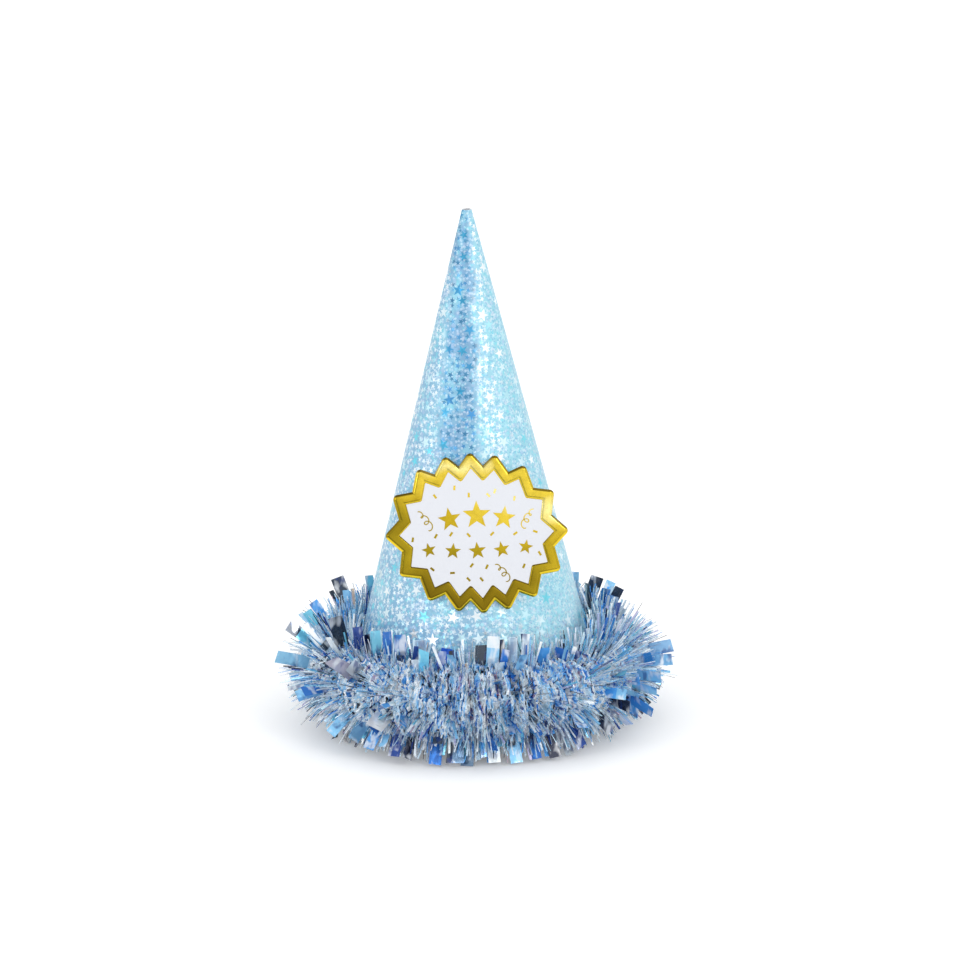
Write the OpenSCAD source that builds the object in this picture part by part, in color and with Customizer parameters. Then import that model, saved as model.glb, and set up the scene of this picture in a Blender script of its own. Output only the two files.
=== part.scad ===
// Party hat: a cone rolled from one card, a starburst badge on foam pads,
// and a tinsel garland glued round the rim. Millimetres, +Z up.
// The origin is on the table under the tip; the badge faces -Y.

/* [Cone card] */
// Height of the card rim above the table, carried by the tinsel
rim_lift = 16.5; // [8:0.5:24]
// Outer radius of the cone at its rim
rim_radius = 52; // [46:1:60]
// Height of the cone from its rim to its clipped tip
cone_height = 200; // [150:5:240]
// Outer radius of the clipped tip
tip_radius = 1.7; // [1.2:0.1:3]
// Thickness of the card
card_thickness = 0.45; // [0.3:0.05:0.8]
// Angle of the overlap where the card's two edges meet
lap_angle = 16; // [8:1:24]
// Glue film between the two layers of the overlap
glue_film = 0.05; // [0.03:0.01:0.15]
// Radius of the two punched holes for a chin elastic
elastic_hole_radius = 1.5; // [1:0.1:2.5]
// Height of the punched holes above the rim
elastic_hole_height = 12; // [10:1:20]

/* [Badge] */
// Width of the starburst over its side teeth
badge_width = 75.4; // [62:0.2:82]
// Height of the starburst over its top and bottom teeth
badge_height = 67; // [56:0.2:74]
// Depth of the teeth, from tip to notch
tooth_depth = 5.8; // [3:0.2:7]
// Rounding of the tooth tips
tooth_round = 1.9; // [0.6:0.1:2]
// Lean of the teeth to the left, which makes the burst look hand cut
badge_skew = 3; // [0:1:8]
// Turn of the badge in its own plane
badge_turn = 1; // [-10:1:10]
// Height of the badge's centre above the rim
badge_centre = 73; // [60:1:90]
// Distance that the badge was stuck on to the right of the middle
badge_shift = 1.8; // [-4:0.2:4]
// Width of the gold border round the white panel
border_width = 4.4; // [3:0.2:6]
// Overall thickness of the gold plate at its border
plate_thickness = 1.3; // [1:0.1:2]
// Thickness of the plate under the panel
plate_floor = 0.6; // [0.4:0.1:0.8]
// Width and height of the bevel along the border's edges
border_bevel = 0.5; // [0.2:0.1:0.6]
// Thickness of the white panel
panel_thickness = 0.35; // [0.2:0.05:0.4]

/* [Foam pads] */
// Thickness of the foam between the plate and the cone, where it is thinnest
foam_thickness = 1; // [0.6:0.1:2.5]
// Width of each foam pad
pad_width = 12; // [6:1:16]
// Length of each foam pad along the cone
pad_length = 15; // [8:1:18]
// Distance between the centres of the two pads
pad_spacing = 30; // [20:1:34]

/* [Tinsel garland] */
// Height of the garland's thread above the rim
thread_height = 7.5; // [3:0.5:9]
// Radius of the thread that holds the strips
thread_radius = 0.9; // [0.6:0.1:1.2]
// Distance from the thread's centre to the garland's flat inner side
inner_side = 2.8; // [2:0.1:4]
// Gap between that side and the card, bridged by the glue
glue_gap = 0.3; // [0.2:0.1:0.8]
// Gap between the garland's two ends at the back
end_gap = 2; // [1:0.5:8]
// Length of thread that shows beyond each end
thread_tail = 0.6; // [0.3:0.1:2]
// Length of the fine strips, from the thread
fringe_length = 22; // [18:1:30]
// Share of that length by which the furrows between tufts are shallower
furrow_share = 0.2; // [0.05:0.01:0.35]
// Unevenness of the fringe, as a share of its length
fringe_jitter = 0.16; // [0:0.01:0.25]
// Number of tufts round the garland
tufts = 58; // [36:1:64]
// Length of the longest wide strips, from the thread
wide_length = 30; // [24:1:36]
// Share of that length that the shortest wide strips have
shortest_wide = 0.84; // [0.7:0.02:1]
// Width of a wide strip
wide_width = 4.2; // [2:0.2:6]
// Thickness of a wide strip, which stands for a few stuck foils
wide_thickness = 0.5; // [0.4:0.05:0.8]
// Number of wide strips round the garland
wide_count = 115; // [60:5:150]

/* [Glue] */
// Number of glue dots round the rim
glue_dots_count = 8; // [6:1:16]
// Radius of a glue dot
glue_dot_radius = 1.6; // [0.8:0.1:2]

/* [Hidden] */
$fn = 96;

// Cone: the wall leans in by slope for each millimetre of height
slope = (rim_radius - tip_radius) / cone_height;
lean = atan(slope);
wall_across = card_thickness / cos(lean);
turn_growth = wall_across + glue_film;
seam_start = 90 - lap_angle / 2;
card_step = 5;

// Badge: teeth, counted anticlockwise from the right
teeth = 16;
tip_crowding = 9.5;
notch_crowding = 6.2;
inner_round = 0.9;
notch_round = 0.25;
plate_fit = 0.1;
corner_steps = 4;

// Garland: strips fan out between these angles, measured up from straight outward
lowest_strip = -92;
highest_strip = 103;
fan_points = 10;
thread_facets = 6;
ring_segments = 2 * tufts;
thread_z = rim_lift + thread_height;
ring_radius = radius_at(thread_height) + turn_growth + (inner_side + glue_gap) / cos(lean);
gap_angle = end_gap / ring_radius * 180 / PI;
tail_angle = thread_tail / ring_radius * 180 / PI;

function radius_at(h) = rim_radius - slope * h;
function direction(a) = [cos(a), sin(a)];
function spread(seed) = rands(0, 1, 1, seed)[0];

// The rolled card is a spiral: each turn grows by the card's thickness and its glue.
// A section runs from the outer face inward, by depth_low at the rim and depth_high at the tip.
function card_section(a, depth_low, depth_high) =
    let (d = direction(a),
         grown = turn_growth * (a - seam_start) / 360,
         low = rim_radius + grown,
         high = tip_radius + grown)
    [
        [each (low - depth_low) * d, rim_lift],
        [each (high - depth_high) * d, rim_lift + cone_height],
        [each high * d, rim_lift + cone_height],
        [each low * d, rim_lift]
    ];

module rolled_sheet(depth_low, depth_high) {
    stops = concat([for (a = [0:card_step:360 + lap_angle - 0.1]) a], [360 + lap_angle]);
    loft([for (a = stops) card_section(seam_start + a, depth_low, depth_high)]);
}

// A solid with the card's own outer face, for cutting what is glued to the card
module card_cutter() {
    rolled_sheet(rim_radius * 0.6, tip_radius * 0.6);
}

module elastic_hole(azimuth) {
    rotate([0, 0, azimuth])
        translate([radius_at(elastic_hole_height), 0, rim_lift + elastic_hole_height])
            rotate([0, 90 - lean, 0])
                cylinder(r = elastic_hole_radius, h = 8 * card_thickness, center = true);
}

module cone_card() {
    color("lightblue")
        difference() {
            rolled_sheet(wall_across, wall_across);
            elastic_hole(0);
            elastic_hole(180);
        }
}

// Moves a flat drawing onto the front of the cone, standing off it by gap
module on_front(gap) {
    translate([0, -radius_at(badge_centre), rim_lift + badge_centre])
        rotate([90 - lean, 0, 0])
            translate([0, 0, gap])
                children();
}

// Burst outline: tips and notches lie on two ellipses, crowded towards the top
// and the bottom, and the whole is skewed a little.
function burst_point(i, inset, crowding) =
    let (a = i * 180 / teeth, t = a + crowding * sin(2 * a),
         p = [(badge_width / 2 - inset) * cos(t), (badge_height / 2 - inset) * sin(t)])
    [p.x - tan(badge_skew) * p.y, p.y];
function zigzag() = [
    for (i = [0:2 * teeth - 1])
        i % 2 == 0 ? burst_point(i, 0, tip_crowding) : burst_point(i, tooth_depth, notch_crowding)
];
function unit(v) = v / norm(v);
function left_of(v) = [-v.y, v.x];
function wrap(points, i) = points[(i + len(points)) % len(points)];

// Moves every side of a closed anticlockwise outline inward by d
function inward(points, d) = [
    for (i = [0:len(points) - 1])
        let (n1 = left_of(unit(points[i] - wrap(points, i - 1))),
             n2 = left_of(unit(wrap(points, i + 1) - points[i])))
        points[i] + d * (n1 + n2) / (1 + n1 * n2)
];

// Rounds every corner with corner_steps points: tips by tip_r, notches by notch_r
function rounded(points, tip_r, notch_r) = [
    for (i = [0:len(points) - 1])
        let (u = unit(wrap(points, i - 1) - points[i]),
             v = unit(wrap(points, i + 1) - points[i]),
             r = i % 2 == 0 ? tip_r : notch_r,
             half = acos(u * v) / 2,
             back = r / tan(half),
             centre = points[i] + unit(u + v) * r / sin(half),
             from = points[i] + u * back - centre,
             sweep = (i % 2 == 0 ? 1 : -1) * (180 - 2 * half))
        for (s = [0:corner_steps - 1])
            let (a = sweep * s / (corner_steps - 1))
            centre + [from.x * cos(a) - from.y * sin(a), from.x * sin(a) + from.y * cos(a)]
];
function outer_outline(inset) = rounded(inward(zigzag(), inset), tooth_round - inset, notch_round + inset);
function panel_outline(inset) = rounded(inward(zigzag(), border_width + inset), notch_round, inner_round);
function at_height(points, z) = [for (p = points) [p.x, p.y, z]];

// A closed solid through outlines that all have the same number of points
module loft(loops) {
    n = len(loops[0]);
    last = len(loops) - 1;
    sides = [
        for (k = [0:last - 1]) for (i = [0:n - 1])
            let (a = k * n + i, b = k * n + (i + 1) % n)
            each [[a, b + n, b], [a, a + n, b + n]]
    ];
    bottom = [for (i = [0:n - 1]) i];
    top = [for (i = [0:n - 1]) last * n + n - 1 - i];
    polyhedron([for (l = loops) each l], [each sides, bottom, top], convexity = 8);
}

// Moves the badge's drawing as it was stuck on by hand
module badge_place() {
    translate([badge_shift, 0, 0])
        rotate([0, 0, badge_turn])
            children();
}

module badge_plate() {
    color("gold")
        on_front(foam_thickness)
            badge_place()
                loft([
                    at_height(outer_outline(0), 0),
                    at_height(outer_outline(0), plate_thickness - border_bevel),
                    at_height(outer_outline(border_bevel), plate_thickness),
                    at_height(panel_outline(-border_bevel / 2), plate_thickness),
                    at_height(panel_outline(0), plate_thickness - border_bevel / 2),
                    at_height(panel_outline(0), plate_floor)
                ]);
}

module badge_panel() {
    color("white")
        on_front(foam_thickness + plate_floor)
            badge_place()
                linear_extrude(panel_thickness)
                    polygon(panel_outline(plate_fit));
}

module foam_pads() {
    color("whitesmoke")
        for (side = [-1, 1])
            difference() {
                on_front(0)
                    translate([0, side * pad_spacing / 2, foam_thickness - pad_width / 2])
                        cube([pad_width, pad_length, pad_width], center = true);
                card_cutter();
            }
}

function ring_azimuth(i, shorten) = 90 + shorten + (360 - 2 * shorten) * i / ring_segments;
function ring_point(azimuth, out, up) = [each (ring_radius + out) * direction(azimuth), thread_z + up];

module core_thread() {
    shorten = gap_angle / 2 - tail_angle;
    color("silver")
        loft([
            for (i = [0:2:ring_segments])
                [
                    for (j = [0:thread_facets - 1])
                        let (w = -360 * j / thread_facets)
                        ring_point(ring_azimuth(i, shorten), thread_radius * cos(w), thread_radius * sin(w))
                ]
        ]);
}

// Length of the fringe in direction w at station i: tufts and furrows take turns, the
// two ends are rounded off, and nothing hangs below the table.
function fringe_reach(i, j, w) =
    let (furrow = i % 2 == 0 ? furrow_share : 0,
         ragged = fringe_jitter * (spread(i * fan_points + j + 1) - 0.5),
         ends = min(1, 0.72 + 0.1 * min(i, ring_segments - i)),
         free = fringe_length * ends * (1 - furrow + ragged),
         floor_reach = thread_z / max(0.2, -sin(w)))
    j == fan_points ? floor_reach * (1 - 0.7 * furrow) : min(free, floor_reach);

// Fan-shaped section of the fringe, with a flat inner side along the card
function fringe_section(i) =
    let (a = ring_azimuth(i, gap_angle / 2),
         wall_out = -inner_side * cos(lean),
         wall_up = -inner_side * sin(lean),
         top = 0.6 * fringe_reach(i, 0, highest_strip))
    [
        for (j = [0:fan_points])
            let (w = highest_strip + (lowest_strip - highest_strip) * j / fan_points,
                 r = fringe_reach(i, j, w))
            ring_point(a, r * cos(w), r * sin(w)),
        ring_point(a, wall_out + inner_side * sin(lean), wall_up - inner_side * cos(lean)),
        ring_point(a, wall_out - top * sin(lean), wall_up + top * cos(lean))
    ];

module fringe_solid() {
    loft([for (i = [0:ring_segments]) fringe_section(i)]);
}

module tinsel_fringe() {
    color("cornflowerblue")
        difference() {
            fringe_solid();
            core_thread();
        }
}

// One wide strip: narrow where the thread pinches it, square cut at its free end
module wide_strip(length) {
    hull() {
        translate([0, 0, inner_side])
            cube([wide_width / 3, wide_thickness, 0.02], center = true);
        translate([0, 0, length])
            cube([wide_width, wide_thickness, 0.02], center = true);
    }
}

module wide_strips() {
    color("steelblue")
        difference() {
            for (i = [0:wide_count - 1]) {
                azimuth = 90 + 360 * (i + 0.5) / wide_count;
                rise = lowest_strip + 20 + (highest_strip - lowest_strip - 24) * ((i * 0.618) % 1);
                swing = 40 * (spread(i + 3000) - 0.5);
                turned = 90 + 110 * (spread(i + 4000) - 0.5);
                length = wide_length * (shortest_wide + (1 - shortest_wide) * spread(i + 5000));
                rotate([0, 0, azimuth])
                    translate([ring_radius, 0, thread_z])
                        rotate([swing, 90 - rise, 0])
                            rotate([0, 0, turned])
                                wide_strip(length);
            }
            fringe_solid();
            translate([0, 0, -rim_radius])
                cube([4 * rim_radius, 4 * rim_radius, 2 * rim_radius], center = true);
        }
}

module glue_dots() {
    color("ivory")
        difference() {
            for (i = [0:glue_dots_count - 1]) {
                segment = floor((i + 0.5) * ring_segments / glue_dots_count);
                rotate([0, 0, ring_azimuth(segment + 0.5, gap_angle / 2)])
                    translate([ring_radius, 0, thread_z])
                        rotate([0, -90 - lean, 0])
                            cylinder(r = glue_dot_radius, h = 2 * inner_side, $fn = 16);
            }
            card_cutter();
            fringe_solid();
        }
}

cone_card();
badge_plate();
badge_panel();
foam_pads();
core_thread();
tinsel_fringe();
wide_strips();
glue_dots();
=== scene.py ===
"""Party hat: a rolled star-film cone, a gold starburst badge and a tinsel garland."""
import math

import bmesh
import bpy
import numpy as np
from mathutils import Matrix, Vector


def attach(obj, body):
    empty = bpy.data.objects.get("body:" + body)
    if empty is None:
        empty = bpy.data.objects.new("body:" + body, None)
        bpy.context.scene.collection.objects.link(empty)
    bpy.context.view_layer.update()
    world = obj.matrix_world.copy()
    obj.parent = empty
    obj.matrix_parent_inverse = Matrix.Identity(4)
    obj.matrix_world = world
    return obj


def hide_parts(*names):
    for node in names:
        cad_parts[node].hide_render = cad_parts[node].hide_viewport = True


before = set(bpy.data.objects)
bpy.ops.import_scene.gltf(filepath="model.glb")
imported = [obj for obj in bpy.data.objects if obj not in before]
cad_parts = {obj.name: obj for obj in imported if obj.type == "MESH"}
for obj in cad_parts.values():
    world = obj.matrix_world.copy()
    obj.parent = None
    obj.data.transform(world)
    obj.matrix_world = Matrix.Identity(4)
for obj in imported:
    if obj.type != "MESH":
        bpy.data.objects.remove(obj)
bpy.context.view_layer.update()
rng = np.random.default_rng(2207)

# Sizes shared with the CAD source, in metres
RIM_Z = 0.0165
RIM_R = 0.052
CONE_H = 0.200
TIP_R = 0.0017
CARD = 0.00045
LAP = 16.0
GLUE_FILM = 0.00005
HOLE_R = 0.0015
HOLE_H = 0.012
SLOPE = (RIM_R - TIP_R) / CONE_H
LEAN = math.atan(SLOPE)
WALL = CARD / math.cos(LEAN)
GROWTH = WALL + GLUE_FILM
SEAM = 90 - LAP / 2
THREAD_H = 0.0075
THREAD_Z = RIM_Z + THREAD_H
RING_R = RIM_R - SLOPE * THREAD_H + GROWTH + (0.0028 + 0.0003) / math.cos(LEAN)
BADGE_H = 0.073
BADGE_SHIFT = 0.0018
BADGE_TURN = math.radians(1.0)
FOAM = 0.001
PLATE_FLOOR = 0.0006
PANEL_TOP = FOAM + PLATE_FLOOR + 0.00035

# The badge's starburst, in millimetres and degrees
TEETH = 16
BURST_HALF_WIDTH = 37.7
BURST_HALF_HEIGHT = 33.5
TOOTH_DEPTH = 5.8
TIP_CROWDING = 9.5
NOTCH_CROWDING = 6.2
BURST_SKEW = 3
TIP_ROUND = 1.9
PRINT_THICKNESS = 0.00006

# Tufts of the garland in one turn
TUFTS = 62


# node helpers
class Tree:
    """Short calls for building a material's nodes."""

    def __init__(self, name):
        self.mat = bpy.data.materials.new(name)
        self.mat.use_nodes = True
        self.nodes = self.mat.node_tree.nodes
        self.links = self.mat.node_tree.links
        self.bsdf = self.nodes["Principled BSDF"]

    def add(self, kind, **props):
        node = self.nodes.new(kind)
        for key, value in props.items():
            setattr(node, key, value)
        return node

    def put(self, socket, value):
        if isinstance(value, bpy.types.NodeSocket):
            self.links.new(value, socket)
        elif value is not None:
            socket.default_value = value

    def math(self, op, a, b=None, c=None, clamp=False):
        node = self.add("ShaderNodeMath", operation=op, use_clamp=clamp)
        for socket, value in zip(node.inputs, (a, b, c)):
            self.put(socket, value)
        return node.outputs[0]

    def vec(self, op, a, b=None):
        node = self.add("ShaderNodeVectorMath", operation=op)
        self.put(node.inputs[0], a)
        if op == "SCALE":
            self.put(node.inputs["Scale"], b)
        elif b is not None:
            self.put(node.inputs[1], b)
        return node.outputs["Value"] if op == "LENGTH" else node.outputs["Vector"]

    def mix(self, fac, a, b, mode="MIX"):
        node = self.add("ShaderNodeMix", data_type="RGBA", blend_type=mode)
        self.put(node.inputs[0], fac)
        self.put(node.inputs[6], a)
        self.put(node.inputs[7], b)
        return node.outputs[2]

    def ramp(self, fac, stops, ease="LINEAR"):
        node = self.add("ShaderNodeValToRGB")
        node.color_ramp.interpolation = ease
        points = node.color_ramp.elements
        while len(points) < len(stops):
            points.new(0.5)
        for point, (pos, col) in zip(points, stops):
            point.position = pos
            point.color = rgba(col)
        self.put(node.inputs[0], fac)
        return node.outputs[0]

    def noise(self, vector, scale, detail=3.0, rough=0.55, dims="3D"):
        node = self.add("ShaderNodeTexNoise", noise_dimensions=dims)
        self.put(node.inputs["Vector"], vector)
        node.inputs["Scale"].default_value = scale
        node.inputs["Detail"].default_value = detail
        node.inputs["Roughness"].default_value = rough
        return node

    def bump(self, height, strength, distance, normal=None):
        node = self.add("ShaderNodeBump")
        node.inputs["Strength"].default_value = strength
        node.inputs["Distance"].default_value = distance
        self.put(node.inputs["Height"], height)
        self.put(node.inputs["Normal"], normal)
        return node.outputs[0]

    def set(self, **values):
        names = {"color": "Base Color", "rough": "Roughness", "metal": "Metallic", "coat": "Coat Weight",
                 "coat_rough": "Coat Roughness", "spec": "Specular IOR Level", "normal": "Normal"}
        for key, value in values.items():
            self.put(self.bsdf.inputs[names[key]], value)
        return self.mat


def lin(c):
    return c / 12.92 if c <= 0.04045 else ((c + 0.055) / 1.055) ** 2.4


def rgba(col):
    """A hex string becomes linear RGBA; tuples pass through."""
    if isinstance(col, str):
        return tuple(lin(int(col[i:i + 2], 16) / 255) for i in (1, 3, 5)) + (1.0,)
    return tuple(col) + (1.0,) if len(col) == 3 else tuple(col)


# materials
def star_layer(t, uv, cell, radius, randomness, keep=1.0, offset=(0.0, 0.0, 0.0)):
    """Five-pointed stars scattered over uv (metres). Returns (mask, random colour of each star)."""
    scaled = t.vec("ADD", t.vec("SCALE", uv, 1.0 / cell), offset)
    vor = t.add("ShaderNodeTexVoronoi", voronoi_dimensions="2D", feature="F1")
    vor.inputs["Scale"].default_value = 1.0
    vor.inputs["Randomness"].default_value = randomness
    t.put(vor.inputs["Vector"], scaled)
    sep = t.add("ShaderNodeSeparateXYZ")
    t.put(sep.inputs[0], t.vec("SUBTRACT", scaled, vor.outputs["Position"]))
    rnd = t.add("ShaderNodeSeparateColor")
    t.put(rnd.inputs[0], vor.outputs["Color"])
    spin = t.math("MULTIPLY", rnd.outputs[0], 6.2832)
    angle = t.math("ADD", t.math("ARCTAN2", sep.outputs[1], sep.outputs[0]), spin)
    wedge = t.math("PINGPONG", t.math("DIVIDE", angle, 2 * math.pi / 5), 0.5)
    # straight star sides: the edge from an outer point to an inner corner, in polar form
    a = t.math("MULTIPLY", wedge, 2 * math.pi / 5)
    k = 0.42
    px, py = k * math.cos(math.pi / 5), k * math.sin(math.pi / 5)
    nx, ny = py, 1 - px
    size = math.hypot(nx, ny)
    nx, ny = nx / size, ny / size
    reach = t.math("DIVIDE", nx, t.math("ADD", t.math("MULTIPLY", t.math("COSINE", a), nx),
                                        t.math("MULTIPLY", t.math("SINE", a), ny)))
    sized = t.math("MULTIPLY", reach, t.math("MULTIPLY_ADD", rnd.outputs[1], 0.35, 0.8))
    edge = t.math("MULTIPLY", sized, radius / cell)
    inside = t.math("SUBTRACT", edge, vor.outputs["Distance"])
    mask = t.math("MULTIPLY", inside, 26.0, clamp=True)
    if keep < 1.0:
        mask = t.math("MULTIPLY", mask, t.math("LESS_THAN", rnd.outputs[2], keep))
    return mask, vor.outputs["Color"]


def star_film():
    t = Tree("star_film")
    uv = t.add("ShaderNodeUVMap", uv_map="sheet").outputs[0]
    obj = t.add("ShaderNodeTexCoord").outputs["Object"]
    sep = t.add("ShaderNodeSeparateXYZ")
    t.put(sep.inputs[0], obj)
    x = t.math("MULTIPLY", sep.outputs[0], 1000.0)
    radial = t.math("MULTIPLY_ADD", sep.outputs[2], -1000.0 * SLOPE, 1000.0 * (RIM_R + SLOPE * RIM_Z))
    wobble = t.math("MULTIPLY_ADD", t.noise(obj, 70.0, 2.0).outputs[0], 7.0, -3.5)
    x = t.math("ADD", x, wobble)

    def bell(centre, centre_r, width, width_r):
        """1 along a line down the front, falling to 0 over its width; both grow with the radius in mm."""
        off = t.math("SUBTRACT", x, t.math("MULTIPLY_ADD", radial, centre_r, centre))
        rel = t.math("DIVIDE", off, t.math("MULTIPLY_ADD", radial, width_r, width))
        return t.math("SUBTRACT", 1.0, t.math("MULTIPLY", rel, rel), clamp=True)

    # how far up the cone: the two bands fade out behind the badge
    upper = t.math("MULTIPLY_ADD", sep.outputs[2], 28.0, -2.6, clamp=True)
    # painted dark reflection: a band left of centre where the film and its stars are painted darker
    painted_dark_band = t.math("MULTIPLY", bell(-1.6, -0.13, 3.4, 0.26), upper)
    painted_dark_band = t.math("MULTIPLY", painted_dark_band, 1.2, clamp=True)
    # painted highlight: a band right of centre where the stars are painted flashing white
    painted_flash_band = t.math("MULTIPLY", bell(1.5, 0.33, 1.1, 0.085), upper)
    side = t.math("DIVIDE", x, t.math("MAXIMUM", radial, 2.0))
    across = t.math("MULTIPLY_ADD", side, 0.5, 0.5)

    # painted light: the film's ground is painted darker on the left and lighter towards the right
    ground = t.ramp(across, [(0.0, "#86B8D6"), (0.2, "#96C2DB"), (0.42, "#94BCD8"), (0.6, "#9FCDE0"),
                             (0.8, "#A2D9E7"), (1.0, "#98D3E4")])
    # near the fringe the film is painted darker at the lower left, a painted shade, and lighter at the lower right,
    # painted light
    low = t.math("MULTIPLY_ADD", sep.outputs[2], -30.0, 1.9, clamp=True)
    painted_shade_low_left = t.math("MULTIPLY", low, t.math("MULTIPLY_ADD", side, -1.1, 0.25, clamp=True))
    ground = t.mix(painted_shade_low_left, ground, rgba("#62A0CF"))
    painted_light_low_right = t.math("MULTIPLY", low, t.math("MULTIPLY_ADD", side, 1.1, -0.05, clamp=True))
    ground = t.mix(painted_light_low_right, ground, rgba("#C9F1FA"))
    ground = t.mix(t.math("MULTIPLY", painted_dark_band, 0.8), ground, rgba("#78A4C8"))
    cloud = t.noise(uv, 60.0, 3.0, 0.6, "2D")
    ground = t.mix(t.math("MULTIPLY_ADD", cloud.outputs[0], 3.0, -1.5, clamp=True), ground, rgba("#9ADBE8"))

    def painted_film_glints(cell, strength, above):
        """Fine glitter painted as glints: cells of the film that happen to face the light, painted in their colour."""
        vor = t.add("ShaderNodeTexVoronoi", voronoi_dimensions="2D", feature="F1")
        vor.inputs["Scale"].default_value = 1.0 / cell
        t.put(vor.inputs["Vector"], uv)
        rnd = t.add("ShaderNodeSeparateColor")
        t.put(rnd.inputs[0], vor.outputs["Color"])
        near = t.math("LESS_THAN", vor.outputs["Distance"], 0.46)
        on = t.math("MULTIPLY", t.math("GREATER_THAN", rnd.outputs[0], above), near)
        calm = t.math("MULTIPLY_ADD", painted_dark_band, -0.4 * strength, strength)
        return t.math("MULTIPLY", on, calm), vor.outputs["Color"]

    white_painted_glints, glit = painted_film_glints(0.0011, 0.6, 0.58)
    color = t.mix(white_painted_glints, ground, rgba("#E6F4FC"))
    for cell, strength, above, tone in ((0.0009, 0.5, 0.6, "#79B2D8"), (0.0014, 0.5, 0.84, "#7ADCE8"),
                                        (0.0021, 0.3, 0.82, "#C9D2F0")):
        color = t.mix(painted_film_glints(cell, strength, above)[0], color, rgba(tone))

    small, small_rnd = star_layer(t, uv, 0.0030, 0.00136, 0.6, 1.0)
    large, large_rnd = star_layer(t, uv, 0.0088, 0.0027, 0.75, 0.9, (3.3, 7.1, 0.0))
    srnd = t.add("ShaderNodeSeparateColor")
    t.put(srnd.inputs[0], small_rnd)
    lrnd = t.add("ShaderNodeSeparateColor")
    t.put(lrnd.inputs[0], large_rnd)

    small_pale = t.ramp(srnd.outputs[2], [(0.0, "#F0F9FD"), (0.6, "#DDF0FA"), (0.82, "#B8E8F2"), (1.0, "#8FD6EA")])
    small_dark = t.ramp(srnd.outputs[2], [(0.0, "#3F7FA9"), (0.6, "#5E9EC4"), (1.0, "#4C90C4")])
    small_col = t.mix(t.math("MULTIPLY", painted_dark_band, 1.4, clamp=True), small_pale, small_dark)
    small_col = t.mix(t.math("MULTIPLY", painted_flash_band, 0.6), small_col, rgba("#FCFEFF"))
    # towards the right the small stars nearly melt into the film
    clear = t.math("MULTIPLY_ADD", t.math("SUBTRACT", side, t.math("MULTIPLY", painted_flash_band, 1.2)), -0.75, 0.98, clamp=True)
    color = t.mix(t.math("MULTIPLY", small, t.math("MAXIMUM", clear, 0.4)), color, small_col)

    large_pale = t.ramp(lrnd.outputs[0], [(0.0, "#FFFFFF"), (0.3, "#DDF3FA"), (0.6, "#C6ECF6"), (0.75, "#7FDCEB"),
                                          (1.0, "#62D2E8")])
    large_dark = t.ramp(lrnd.outputs[0], [(0.0, "#3690C0"), (0.5, "#3E9FC2"), (1.0, "#4790CC")])
    large_col = t.mix(t.math("MULTIPLY", painted_dark_band, 1.6, clamp=True), large_pale, large_dark)
    large_col = t.mix(painted_flash_band, large_col, rgba("#FFFFFF"))
    # a plain margin keeps the large stars clear of the small ones
    halo, _ = star_layer(t, uv, 0.0088, 0.0037, 0.75, 0.9, (3.3, 7.1, 0.0))
    color = t.mix(t.math("MULTIPLY", halo, 0.75), color, ground)
    color = t.mix(large, color, large_col)

    # each star is its own grating: it leans a little, so some flash and some go dark
    any_star = t.math("MAXIMUM", small, large)
    lean_rnd = t.mix(large, small_rnd, large_rnd)
    tilt = t.vec("SCALE", t.vec("SUBTRACT", lean_rnd, (0.5, 0.5, 0.5)), t.math("MULTIPLY", any_star, 0.3))
    grain = t.vec("SCALE", t.vec("SUBTRACT", glit, (0.5, 0.5, 0.5)), 0.22)
    normal = t.add("ShaderNodeNewGeometry").outputs["Normal"]
    tilted = t.vec("NORMALIZE", t.vec("ADD", normal, t.vec("ADD", tilt, grain)))
    crease = t.bump(t.noise(uv, 34.0, 2.0, 0.5, "2D").outputs[0], 0.1, 0.001, tilted)
    rough = t.math("MULTIPLY_ADD", any_star, -0.1, 0.42)
    return t.set(color=color, metal=t.math("MULTIPLY_ADD", any_star, 0.25, 0.3), rough=rough, normal=crease,
                 coat=0.2, coat_rough=0.2)


def plain_card(name, col, rough=0.62, fibre=900.0, spot=0.04):
    t = Tree(name)
    obj = t.add("ShaderNodeTexCoord").outputs["Object"]
    fine = t.noise(obj, fibre, 4.0, 0.65)
    broad = t.noise(obj, 45.0, 3.0)
    shade = t.math("MULTIPLY_ADD", broad.outputs[0], 2 * spot, 1 - spot)
    color = t.mix(1.0, rgba(col), t.vec("SCALE", (1.0, 1.0, 1.0), shade), "MULTIPLY")
    return t.set(color=color, rough=t.math("MULTIPLY_ADD", fine.outputs[0], 0.14, rough - 0.07),
                 normal=t.bump(fine.outputs[0], 0.18, 0.0004))


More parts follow.
